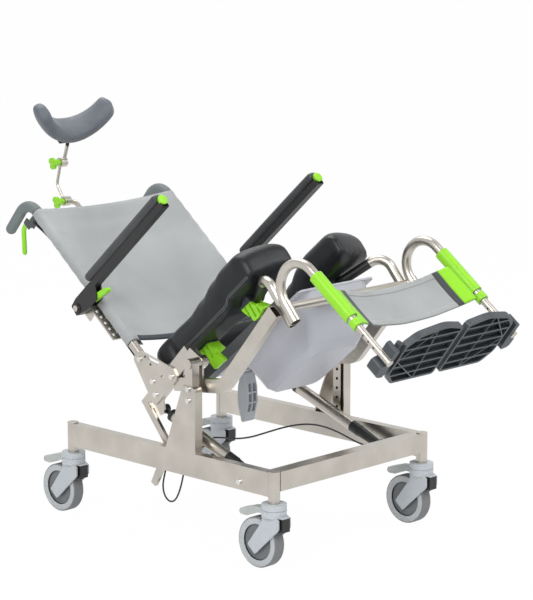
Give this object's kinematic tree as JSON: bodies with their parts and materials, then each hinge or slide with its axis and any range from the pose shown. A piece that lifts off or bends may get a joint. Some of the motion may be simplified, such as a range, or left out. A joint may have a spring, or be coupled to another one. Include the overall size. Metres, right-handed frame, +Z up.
{
  "type": "tilting shower commode chair",
  "caption": "Tilt-in-space shower commode chair on braked casters with a horseshoe seat, sling back, headrest, flip-up arms and leg rests.",
  "frame": {"origin": "on the floor below the middle of the chair's bounding box", "axes": "+X forward the way the sitter faces, +Y to the sitter's left, +Z up"},
  "size_m": [1.4464, 0.601, 1.0339],
  "materials": {
    "satin_steel": "satin stainless tube and sheet",
    "lime_plastic": "bright lime moulded plastic",
    "cushion_charcoal": "soft moulded foam skin, charcoal",
    "arm_black": "black moulded plastic and painted bar",
    "sling_cloth": "grey coated cloth",
    "head_grey": "soft moulded foam skin, dark grey",
    "foot_slate": "slate moulded plastic",
    "pan_clear": "pale translucent plastic",
    "caster_grey": "pale blue-grey plastic",
    "wheel_grey": "grey tread on a two-tone hub",
    "grip_grey": "soft grey grip",
    "guide_grey": "dark grey plastic",
    "cable_black": "black cable sheath",
    "bolt_steel": "bright bolt heads"
  },
  "bodies": {
    "base": {"base_side_left": "satin_steel", "base_side_right": "satin_steel", "front_crossbar": "satin_steel", "towers": "satin_steel", "uprights": "satin_steel", "frame_bolts": "bolt_steel", "loop_cable": "cable_black", "cross_cable": "cable_black"},
    "seat": {"seat_sides": "satin_steel", "seat_hoop": "satin_steel", "seat_sockets": "satin_steel", "seat_cushion": "cushion_charcoal", "seat_clips": "lime_plastic", "pan_guides": "guide_grey", "tip_pedal": "satin_steel", "seat_bolts": "bolt_steel", "back_brackets": "satin_steel", "back_tubes": "satin_steel", "push_grips": "grip_grey", "back_sling": "sling_cloth", "headrest_crossbar": "satin_steel", "lever_housing": "guide_grey", "arm_brackets": "satin_steel", "lever_cables": "cable_black"},
    "caster_front_left": {"caster_fork_front_left": "caster_grey"},
    "wheel_front_left": {"caster_wheel_front_left": "wheel_grey"},
    "brake_front_left": {"brake_pedal_front_left": "caster_grey"},
    "caster_front_right": {"caster_fork_front_right": "caster_grey"},
    "wheel_front_right": {"caster_wheel_front_right": "wheel_grey"},
    "brake_front_right": {"brake_pedal_front_right": "caster_grey"},
    "caster_rear_left": {"caster_fork_rear_left": "caster_grey"},
    "wheel_rear_left": {"caster_wheel_rear_left": "wheel_grey"},
    "brake_rear_left": {"brake_pedal_rear_left": "caster_grey"},
    "caster_rear_right": {"caster_fork_rear_right": "caster_grey"},
    "wheel_rear_right": {"caster_wheel_rear_right": "wheel_grey"},
    "brake_rear_right": {"brake_pedal_rear_right": "caster_grey"},
    "lever": {"release_lever": "lime_plastic"},
    "arm_left": {"arm_bar_left": "arm_black", "arm_pad_left": "cushion_charcoal"},
    "lock_left": {"arm_lock_left": "lime_plastic"},
    "arm_right": {"arm_bar_right": "arm_black", "arm_pad_right": "cushion_charcoal"},
    "lock_right": {"arm_lock_right": "lime_plastic"},
    "mast": {"headrest_mast": "satin_steel"},
    "link": {"headrest_link": "satin_steel", "headrest_knobs": "lime_plastic"},
    "head": {"headrest_holder": "satin_steel", "headrest_pad": "head_grey"},
    "legs": {"hangers": "satin_steel", "calf_sleeves": "lime_plastic", "calf_strap": "sling_cloth"},
    "foot_left": {"foot_tube_left": "satin_steel"},
    "plate_left": {"footplate_left": "foot_slate"},
    "foot_right": {"foot_tube_right": "satin_steel"},
    "plate_right": {"footplate_right": "foot_slate"},
    "pan": {"commode_pan": "pan_clear"},
    "pan_grip": {"pan_handle": "caster_grey"},
    "barrel_left": {"spring_barrel_left": "satin_steel"},
    "rod_left": {"spring_rod_left": "satin_steel"},
    "barrel_right": {"spring_barrel_right": "satin_steel"},
    "rod_right": {"spring_rod_right": "satin_steel"}
  },
  "joints": [
    {"name": "seat_tilt", "type": "hinge", "parent": "base", "child": "seat", "pos_m": [0.0737, 0, 0.463], "axis": [0, 1, 0], "range_deg": [0, 40]},
    {"name": "swivel_front_left", "type": "hinge", "parent": "base", "child": "caster_front_left", "pos_m": [0.3537, 0.27, 0.165], "axis": [0, 0, 1], "continuous": true},
    {"name": "roll_front_left", "type": "hinge", "parent": "caster_front_left", "child": "wheel_front_left", "pos_m": [0.3112, 0.27, 0.0625], "axis": [0, 1, 0], "continuous": true},
    {"name": "brake_press_front_left", "type": "hinge", "parent": "caster_front_left", "child": "brake_front_left", "pos_m": [0.3397, 0.27, 0.141], "axis": [0, -1, 0], "range_deg": [0, 4.5]},
    {"name": "swivel_front_right", "type": "hinge", "parent": "base", "child": "caster_front_right", "pos_m": [0.3537, -0.27, 0.165], "axis": [0, 0, 1], "continuous": true},
    {"name": "roll_front_right", "type": "hinge", "parent": "caster_front_right", "child": "wheel_front_right", "pos_m": [0.3112, -0.27, 0.0625], "axis": [0, 1, 0], "continuous": true},
    {"name": "brake_press_front_right", "type": "hinge", "parent": "caster_front_right", "child": "brake_front_right", "pos_m": [0.3397, -0.27, 0.141], "axis": [0, -1, 0], "range_deg": [0, 4.5]},
    {"name": "swivel_rear_left", "type": "hinge", "parent": "base", "child": "caster_rear_left", "pos_m": [-0.3663, 0.27, 0.165], "axis": [0, 0, 1], "continuous": true},
    {"name": "roll_rear_left", "type": "hinge", "parent": "caster_rear_left", "child": "wheel_rear_left", "pos_m": [-0.4088, 0.27, 0.0625], "axis": [0, 1, 0], "continuous": true},
    {"name": "brake_press_rear_left", "type": "hinge", "parent": "caster_rear_left", "child": "brake_rear_left", "pos_m": [-0.3803, 0.27, 0.141], "axis": [0, -1, 0], "range_deg": [0, 4.5]},
    {"name": "swivel_rear_right", "type": "hinge", "parent": "base", "child": "caster_rear_right", "pos_m": [-0.3663, -0.27, 0.165], "axis": [0, 0, 1], "continuous": true},
    {"name": "roll_rear_right", "type": "hinge", "parent": "caster_rear_right", "child": "wheel_rear_right", "pos_m": [-0.4088, -0.27, 0.0625], "axis": [0, 1, 0], "continuous": true},
    {"name": "brake_press_rear_right", "type": "hinge", "parent": "caster_rear_right", "child": "brake_rear_right", "pos_m": [-0.3803, -0.27, 0.141], "axis": [0, -1, 0], "range_deg": [0, 4.5]},
    {"name": "lever_pull", "type": "hinge", "parent": "seat", "child": "lever", "pos_m": [-0.56946, -0.233, 0.73725], "axis": [0, 1, 0], "range_deg": [0, 14], "stiffness_Nm_per_rad": 0.5},
    {"name": "arm_swing_left", "type": "hinge", "parent": "seat", "child": "arm_left", "pos_m": [-0.32403, 0.277, 0.54919], "axis": [0, -1, 0], "range_deg": [0, 100]},
    {"name": "arm_lock_pull_left", "type": "hinge", "parent": "arm_left", "child": "lock_left", "pos_m": [-0.27008, 0.277, 0.57893], "axis": [0, -1, 0], "range_deg": [0, 12], "stiffness_Nm_per_rad": 0.3},
    {"name": "arm_swing_right", "type": "hinge", "parent": "seat", "child": "arm_right", "pos_m": [-0.32403, -0.277, 0.54919], "axis": [0, -1, 0], "range_deg": [0, 100]},
    {"name": "arm_lock_pull_right", "type": "hinge", "parent": "arm_right", "child": "lock_right", "pos_m": [-0.27008, -0.277, 0.57893], "axis": [0, -1, 0], "range_deg": [0, 12], "stiffness_Nm_per_rad": 0.3},
    {"name": "headrest_height", "type": "slide", "parent": "seat", "child": "mast", "axis": [-0.7716, 0, 0.6361], "range_m": [-0.03, 0.05]},
    {"name": "headrest_link_turn", "type": "hinge", "parent": "mast", "child": "link", "pos_m": [-0.68992, 0, 0.7562], "axis": [0, 1, 0], "range_deg": [-25, 25]},
    {"name": "headrest_pad_turn", "type": "hinge", "parent": "link", "child": "head", "pos_m": [-0.70354, 0, 0.86073], "axis": [0, 1, 0], "range_deg": [-25, 25]},
    {"name": "leg_rest_lift", "type": "slide", "parent": "seat", "child": "legs", "axis": [-0.6428, 0, 0.766], "range_m": [0, 0.09]},
    {"name": "foot_length_left", "type": "slide", "parent": "legs", "child": "foot_left", "axis": [0.7986, 0, -0.6018], "range_m": [0, 0.08]},
    {"name": "footplate_fold_left", "type": "hinge", "parent": "foot_left", "child": "plate_left", "pos_m": [0.65986, 0.203, 0.55941], "axis": [-0.6018, 0, -0.7986], "range_deg": [0, 30]},
    {"name": "foot_length_right", "type": "slide", "parent": "legs", "child": "foot_right", "axis": [0.7986, 0, -0.6018], "range_m": [0, 0.08]},
    {"name": "footplate_fold_right", "type": "hinge", "parent": "foot_right", "child": "plate_right", "pos_m": [0.65986, -0.203, 0.55941], "axis": [0.6018, 0, 0.7986], "range_deg": [0, 30]},
    {"name": "pan_slide", "type": "slide", "parent": "seat", "child": "pan", "axis": [-0.766, 0, -0.6428], "range_m": [0, 0.33]},
    {"name": "pan_grip_swing", "type": "hinge", "parent": "pan", "child": "pan_grip", "pos_m": [-0.00003, 0, 0.38285], "axis": [0, 1, 0], "range_deg": [-40, 50]},
    {"name": "spring_foot_left", "type": "hinge", "parent": "base", "child": "barrel_left", "pos_m": [0.2487, 0.226, 0.2], "axis": [0, 1, 0], "range_deg": [-1, 14]},
    {"name": "spring_head_left", "type": "hinge", "parent": "seat", "child": "rod_left", "pos_m": [-0.06959, 0.226, 0.31796], "axis": [0, 1, 0], "range_deg": [-30, 1]},
    {"name": "spring_foot_right", "type": "hinge", "parent": "base", "child": "barrel_right", "pos_m": [0.2487, -0.226, 0.2], "axis": [0, 1, 0], "range_deg": [-1, 14]},
    {"name": "spring_head_right", "type": "hinge", "parent": "seat", "child": "rod_right", "pos_m": [-0.06959, -0.226, 0.31796], "axis": [0, 1, 0], "range_deg": [-30, 1]}
  ],
  "couplings": [
    {"joint": "spring_foot_left", "follows": "seat_tilt", "ratio": 0.3045},
    {"joint": "spring_head_left", "follows": "seat_tilt", "ratio": -0.6955},
    {"joint": "spring_foot_right", "follows": "seat_tilt", "ratio": 0.3045},
    {"joint": "spring_head_right", "follows": "seat_tilt", "ratio": -0.6955}
  ]
}
